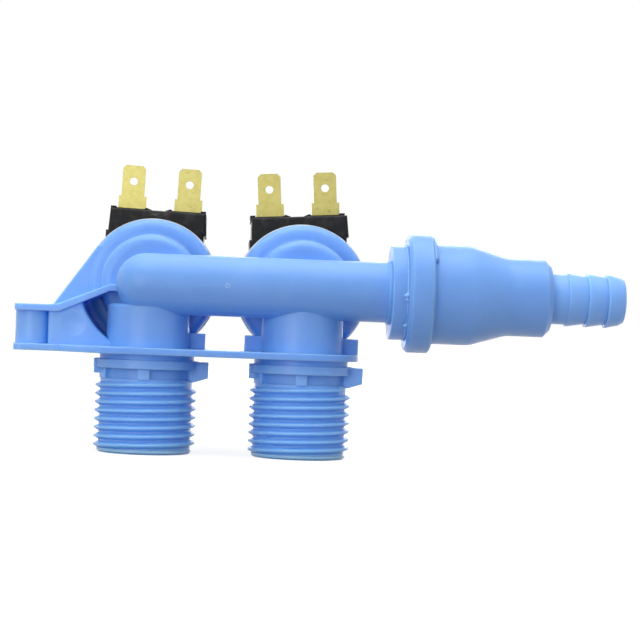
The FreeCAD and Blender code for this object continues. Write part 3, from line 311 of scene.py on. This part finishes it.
def blue_plastic():
    finish = Finish("blue_plastic")
    flow = finish.noise(14 * MM, detail=3)
    tint = finish.blend(finish.ranged(flow, 0, 1), BLUE, BLUE_LIGHT)
    # Painted glow on the thin walls
    thin = finish.blend(finish.painted_glow_zones(), tint, BLUE_THIN_GLOW)
    # Painted glow at the inlets' mouths
    mouth_glow = finish.along(*MOUTH_GLOW)
    pale = finish.blend(mouth_glow, thin, BLUE_MOUTH_GLOW)
    # Painted glow in crevices and under ledges, standing in for bounced and scattered light
    depth = finish.ranged(finish.crevices(5 * MM), 0.85, 0, start=0.2, end=0.8)
    glow = finish.blend(depth, pale, BLUE_CREVICE_GLOW)
    # Painted shade in tight corners and seams, and on the windows' floors
    seam_shade = finish.ranged(finish.crevices(1.2 * MM), 0.35, 0, start=0.2, end=0.7)
    shaded = finish.blend(finish.most(seam_shade, finish.windows()), glow, BLUE_SEAM_SHADE)
    # Painted highlight, a paler blue along sharp edges
    edge_highlight = finish.ranged(finish.edges(0.5 * MM), 0.45, 0, start=0.75, end=0.98)
    finish.paint(finish.blend(edge_highlight, shaded, BLUE_EDGE_HIGHLIGHT))
    finish.roughen(finish.noise(3 * MM), 0.34, 0.42)
    finish.bump(
        0.42 * MM,
        (finish.noise(7 * MM, detail=2), 0.10 * MM),
        (finish.noise(0.35 * MM, detail=3), 0.006 * MM),
    )
    finish.shader.inputs["Subsurface Weight"].default_value = 0.9
    finish.shader.inputs["Subsurface Radius"].default_value = (0.8, 1.0, 1.1)
    finish.shader.inputs["Subsurface Scale"].default_value = 2.0 * MM
    return finish.material


def thin_plastic(name, colour, light):
    """Blue plastic too thin to glow: weld flash, the gate mark and the collar's lip."""
    finish = Finish(name)
    finish.paint(finish.blend(finish.ranged(finish.noise(1.5 * MM), 0, 1), colour, light))
    finish.roughen(finish.noise(0.8 * MM), 0.30, 0.42)
    finish.bump(0.15 * MM, (finish.noise(0.4 * MM, detail=3), 0.03 * MM))
    return finish.material


def black_plastic():
    finish = Finish("black_plastic")
    wear = finish.noise(2.5 * MM)
    worn = finish.blend(finish.ranged(wear, 0, 1, 0.5, 0.75), BLACK, BLACK_WORN)
    # A lighter streaked patch between the humps of the left coil moulding
    streaks = finish.ranged(finish.noise(0.5 * MM, stretch=(6, 1, 1)), 0, 0.8, 0.45, 0.7)
    valley = finish.add("ShaderNodeMath", operation="MULTIPLY")
    finish.join(streaks, valley.inputs[0])
    finish.join(finish.near(VALLEY_PATCH_PLACE, VALLEY_PATCH_REACH), valley.inputs[1])
    finish.paint(finish.blend(valley.outputs["Value"], worn, BLACK_VALLEY_PATCH))
    finish.shader.inputs["Specular IOR Level"].default_value = 0.16
    finish.roughen(finish.noise(1.2 * MM), 0.42, 0.55)
    finish.bump(0.25 * MM, (finish.noise(0.25 * MM, detail=2), 0.012 * MM))
    return finish.material


def metal(name, colour, dull, grain, stretch, roughness):
    """Rolled or stamped metal with its grain along one axis."""
    finish = Finish(name)
    finish.shader.inputs["Metallic"].default_value = 1.0
    stains = finish.noise(2.2 * MM)
    lines = finish.noise(grain, detail=3, stretch=stretch)
    finish.paint(finish.blend(finish.ranged(stains, 0, 0.8), colour, dull))
    finish.roughen(lines, roughness - 0.07, roughness + 0.08)
    finish.bump(0.10 * MM, (lines, 0.006 * MM))
    return finish.material


def terminal_brass(stretch):
    """Brass strip with its grain along the tab, darker cut edges and a few stains."""
    finish = Finish("brass")
    finish.shader.inputs["Metallic"].default_value = 1.0
    lines = finish.noise(0.12 * MM, detail=3, stretch=stretch)
    clean = finish.blend(finish.ranged(finish.noise(1.6 * MM), 0, 0.8), BRASS, BRASS_DULL)
    spots = finish.ranged(finish.noise(1.1 * MM, detail=5), 0, 0.7, start=0.66, end=0.76)
    stained = finish.blend(spots, clean, BRASS_STAIN)
    cut = finish.ranged(finish.edges(0.22 * MM), 0.7, 0, start=0.8, end=0.98)
    finish.paint(finish.blend(cut, stained, BRASS_EDGE))
    finish.roughen(lines, 0.27, 0.42)
    finish.bump(0.10 * MM, (lines, 0.006 * MM))
    return finish.material


def soft_or_nylon(name, colour, aged, roughness, grain_depth):
    """Matte moulded plastic or rubber."""
    finish = Finish(name)
    finish.paint(finish.blend(finish.ranged(finish.noise(4 * MM), 0, 1), colour, aged))
    finish.roughen(finish.noise(1.5 * MM), roughness - 0.06, roughness + 0.06)
    finish.bump(0.12 * MM, (finish.noise(0.3 * MM, detail=3), grain_depth))
    return finish.material


def copper_winding():
    """Enamelled wire, laid in turns side by side along the solenoid axis, with painted shade in the
    grooves between turns.
    """
    finish = Finish("copper")
    finish.shader.inputs["Metallic"].default_value = 0.9
    turns = finish.add("ShaderNodeTexWave", bands_direction="Y")
    turns.inputs["Scale"].default_value = 1 / WIRE_PITCH / WAVE_BANDS
    turns.inputs["Distortion"].default_value = 0.4
    finish.join(finish.place, turns.inputs["Vector"])
    finish.paint(finish.blend(turns.outputs["Fac"], COPPER_GROOVE_SHADE, COPPER))
    finish.roughen(finish.noise(2 * MM), 0.25, 0.35)
    finish.bump(0.05 * MM, (turns.outputs["Fac"], 0.12 * MM))
    return finish.material


def make_finishes():
    along = (14, 1, 1)
    upright = (1, 1, 14)
    return {
        "blue_plastic": blue_plastic(),
        "black_plastic": black_plastic(),
        "terminal_brass": terminal_brass(upright),
        "plated_steel": metal("plated_steel", STEEL, STEEL_DULL, 0.15 * MM, along, 0.36),
        "spring_steel": metal("spring_steel", STEEL_DULL, STEEL, 0.10 * MM, along, 0.30),
        "white_plastic": soft_or_nylon("nylon", NYLON, NYLON_AGED, 0.42, 0.006 * MM),
        "black_rubber": soft_or_nylon("rubber", RUBBER, RUBBER_DUSTY, 0.62, 0.015 * MM),
        "copper": copper_winding(),
    }


def dress_nodes(frame, finishes):
    """Gives each CAD node the finish of its material slot."""
    slots = {row["node"]: row["material_slot"] for row in frame["record"]["subparts"]}
    for name, node in frame["nodes"].items():
        node.data.materials.clear()
        node.data.materials.append(finishes[slots[name]])


def seen_rays(tree):
    """1 for rays from the camera, off gloss and through clear things, 0 for the light."""
    path = tree.nodes.new("ShaderNodeLightPath")
    share = path.outputs["Is Camera Ray"]
    for kind in ("Is Glossy Ray", "Is Transmission Ray"):
        either = tree.nodes.new("ShaderNodeMath")
        either.operation = "MAXIMUM"
        tree.links.new(share, either.inputs[0])
        tree.links.new(path.outputs[kind], either.inputs[1])
        share = either.outputs["Value"]
    return share


def mesh_piece(name, points, faces, finish, body="valve"):
    """A smooth mesh that rides on a body; its points are in millimetres."""
    mesh = bpy.data.meshes.new(name)
    mesh.from_pydata([[c * MM for c in point] for point in points], [], faces)
    mesh.shade_smooth()
    mesh.materials.append(finish)
    piece = bpy.data.objects.new(name, mesh)
    bpy.context.scene.collection.objects.link(piece)
    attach(piece, body)
    return piece


def around_tube(x, radius, turn):
    """A point round the mixing tube's axis; turn 0 faces the front and 90 degrees is up."""
    angle = math.radians(turn)
    return (x, TUBE_Y - radius * math.cos(angle), TUBE_Z + radius * math.sin(angle))


def ring_faces(count, size, closed):
    """Quads that join each of count rings to the next, and if closed the last to the first."""
    faces = []
    for i in range(count if closed else count - 1):
        here, there = i * size, (i + 1) % count * size
        for j in range(size):
            k = (j + 1) % size
            faces.append((here + j, here + k, there + k, there + j))
    return faces


def closed_sweep(rings):
    """Points and quads of a loop of rings."""
    points = [point for ring in rings for point in ring]
    return points, ring_faces(len(rings), len(rings[0]), closed=True)


def away_from(turn, middle):
    """Degrees from one turn to another, the short way round, with their sign."""
    return (turn - middle + 180) % 360 - 180


def weld_size(step):
    """The bead's size at a turn in degrees: its waves, with the drops on top."""
    turn = math.radians(step)
    size = WELD_SIZE
    for depth, count, start in WELD_WAVES:
        size += depth * math.sin(count * turn + start)
    for place, rise, width in WELD_DROPS:
        size += rise * math.exp(-((away_from(step, place) / width) ** 2))
    return size


def weld_flash(finish):
    """The uneven bead that the weld squeezed out in the corner of flange and collar."""
    rings = []
    for step in range(WELD_STEPS):
        size = weld_size(step)
        ring = []
        for corner in range(WELD_CORNERS):
            angle = math.radians(360 / WELD_CORNERS * corner)
            x = WELD_X - 0.45 * size + 1.3 * size * math.cos(angle)
            radius = WELD_RADIUS + 0.2 * size + 0.9 * size * math.sin(angle)
            ring.append(around_tube(x, radius, step))
        rings.append(ring)
    return mesh_piece("weld_flash", *closed_sweep(rings), finish)


def collar_lip(finish):
    """The lip behind the collar, from the front over the top, with a small foot below."""
    rings = []
    for step in range(0, 360, LIP_DEGREES):
        reach = 0.02
        for middle, half, size in LIP_STRETCHES:
            away = abs(away_from(step, middle))
            reach += size * min(1, max(0, (half - away) / 2))
        outer = LIP_LOW if LIP_LOW_FROM < step < LIP_LOW_TO else LIP_OUTER
        section = (
            (LIP_START, LIP_INNER),
            (LIP_START, outer),
            (COLLAR_BACK + 0.3 * reach, outer),
            (COLLAR_BACK + 0.8 * reach, outer - LIP_ROUNDING),
            (COLLAR_BACK + reach, LIP_STEP),
            (COLLAR_BACK + reach, LIP_INNER),
        )
        rings.append([around_tube(x, radius, step) for x, radius in section])
    return mesh_piece("collar_lip", *closed_sweep(rings), finish)


def gate_mark(finish):
    """The broken-off sprue on the tube's front between the inlets, a shallow crater."""
    points = []
    for radius, height in GATE_RINGS:
        for step in range(GATE_SIDES):
            angle = math.radians(360 / GATE_SIDES * step)
            wide = radius * (1 + 0.10 * math.sin(3 * angle + 1))
            across, up = wide * math.cos(angle), wide * math.sin(angle)
            out = math.sqrt(TUBE_FACE**2 - up**2) + height
            points.append((GATE_X + across, TUBE_Y - out, TUBE_Z + up))
    faces = ring_faces(len(GATE_RINGS), GATE_SIDES, closed=False)
    faces.append(tuple((len(GATE_RINGS) - 1) * GATE_SIDES + step for step in range(GATE_SIDES)))
    return mesh_piece("gate_mark", points, faces, finish)


def flexing_springs(frame):
    """Copies of the plunger springs, which ride on the valve body in place of the hidden originals."""
    for side in ("left", "right"):
        node = f"{side}_plunger_spring"
        piece = bpy.data.objects.new(f"{node}_coils", frame["nodes"][node].data.copy())
        bpy.context.scene.collection.objects.link(piece)
        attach(piece, "valve")
        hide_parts(node)
        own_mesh(piece)


def add_marks():
    """Small marks of moulding and welding, which the plain solids leave out."""
    pale = thin_plastic("flash_plastic", FLASH, FLASH_LIGHT)
    weld_flash(pale)
    gate_mark(pale)
    collar_lip(thin_plastic("lip_plastic", BLUE, BLUE_LIGHT))


def make_floor(lowest):
    """A pale floor under the inlets, which keeps the object's shadow."""
    bpy.ops.mesh.primitive_plane_add(size=FLOOR_WIDTH, location=(0, 0, lowest))
    floor = bpy.context.object
    floor.name = "floor"
    finish = Finish("floor")
    spots = finish.ranged(finish.noise(60 * MM), 0, 1)
    finish.paint(finish.blend(spots, FLOOR_GREY, FLOOR_PALE))
    finish.shader.inputs["Roughness"].default_value = 0.9
    finish.shader.inputs["Specular IOR Level"].default_value = 0.0
    finish.shader.inputs["Emission Color"].default_value = (1, 1, 1, 1)
    seen = finish.add("ShaderNodeMath", operation="MULTIPLY")
    seen.inputs[1].default_value = FLOOR_GLOW
    finish.join(seen_rays(finish.tree), seen.inputs[0])
    finish.join(seen.outputs["Value"], finish.shader.inputs["Emission Strength"])
    floor.data.materials.append(finish.material)


def make_world():
    """Even studio light that is brighter above, and plain white where the camera looks."""
    world = bpy.data.worlds.new("studio")
    bpy.context.scene.world = world
    world.use_nodes = True
    nodes, links = world.node_tree.nodes, world.node_tree.links
    nodes.clear()
    place = nodes.new("ShaderNodeTexCoord")
    split = nodes.new("ShaderNodeSeparateXYZ")
    height = nodes.new("ShaderNodeMapRange")
    height.inputs["From Min"].default_value = -0.2
    height.inputs["From Max"].default_value = 1.0
    height.inputs["To Min"].default_value = STUDIO_LOW
    height.inputs["To Max"].default_value = STUDIO_HIGH
    studio = nodes.new("ShaderNodeBackground")
    plain = nodes.new("ShaderNodeBackground")
    mix = nodes.new("ShaderNodeMixShader")
    output = nodes.new("ShaderNodeOutputWorld")
    links.new(place.outputs["Generated"], split.inputs["Vector"])
    links.new(split.outputs["Z"], height.inputs["Value"])
    links.new(height.outputs["Result"], studio.inputs["Strength"])
    links.new(seen_rays(world.node_tree), mix.inputs["Fac"])
    links.new(studio.outputs["Background"], mix.inputs[1])
    links.new(plain.outputs["Background"], mix.inputs[2])
    links.new(mix.outputs["Shader"], output.inputs["Surface"])
    studio.inputs["Color"].default_value = (1, 1, 1, 1)
    plain.inputs["Color"].default_value = (1, 1, 1, 1)


def softbox(name, place, target, width, power):
    """A square area light at place that faces the target."""
    data = bpy.data.lights.new(name, "AREA")
    data.size = width
    data.energy = power
    light = bpy.data.objects.new(name, data)
    bpy.context.scene.collection.objects.link(light)
    light.location = place
    facing = target - light.location
    light.rotation_euler = facing.to_track_quat("-Z", "Y").to_euler()


def make_lights(centre):
    for name, place, width, power in SOFTBOXES:
        softbox(name, place, centre, width, power)


def make_camera():
    data = bpy.data.cameras.new("camera")
    data.lens = CAMERA_LENS
    data.clip_start = 0.01
    camera = bpy.data.objects.new("camera", data)
    bpy.context.scene.collection.objects.link(camera)
    turn = Matrix.Rotation(-math.radians(CAMERA_TURN), 4, "Z")
    tilt = Matrix.Rotation(math.radians(90 + CAMERA_TILT), 4, "X")
    roll = Matrix.Rotation(math.radians(CAMERA_ROLL), 4, "Z")
    camera.matrix_world = Matrix.Translation(CAMERA_PLACE) @ turn @ tilt @ roll
    bpy.context.scene.camera = camera


with open("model.json") as file:
    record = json.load(file)
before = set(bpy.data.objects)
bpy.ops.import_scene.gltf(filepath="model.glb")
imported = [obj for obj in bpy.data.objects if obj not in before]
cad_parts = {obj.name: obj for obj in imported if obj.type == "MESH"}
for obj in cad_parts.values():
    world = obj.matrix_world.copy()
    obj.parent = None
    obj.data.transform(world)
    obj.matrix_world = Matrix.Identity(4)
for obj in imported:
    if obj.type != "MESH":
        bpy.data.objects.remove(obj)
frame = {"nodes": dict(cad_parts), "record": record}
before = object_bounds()
dress_nodes(frame, make_finishes())
add_marks()
flexing_springs(frame)
make_floor(before[0].z)
make_world()
make_lights((before[0] + before[1]) / 2)
make_camera()
bpy.context.scene.view_settings.view_transform = "Standard"
